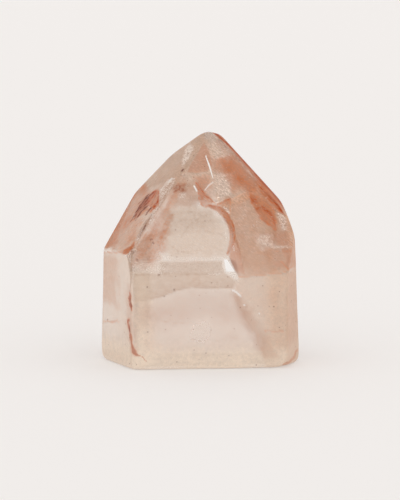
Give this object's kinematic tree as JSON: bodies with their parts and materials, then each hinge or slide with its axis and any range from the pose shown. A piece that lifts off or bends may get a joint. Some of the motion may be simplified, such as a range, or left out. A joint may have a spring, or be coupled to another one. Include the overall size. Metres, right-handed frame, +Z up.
{
  "type": "lemurian quartz tower",
  "caption": "Polished quartz tower: a short six-sided prism ending in a six-sided point, flat base, rust-stained clear stone.",
  "frame": {"origin": "middle of the stone's outline, on the plane it stands on", "axes": "+Z up along the crystal to the tip, -Y out of the wide front face, +X to the right seen from the front"},
  "size_m": [0.053, 0.0392, 0.0601],
  "materials": {
    "quartz": "polished, see-through, warm beige with rust staining"
  },
  "bodies": {
    "root": {"quartz_tower": "quartz"}
  },
  "joints": []
}
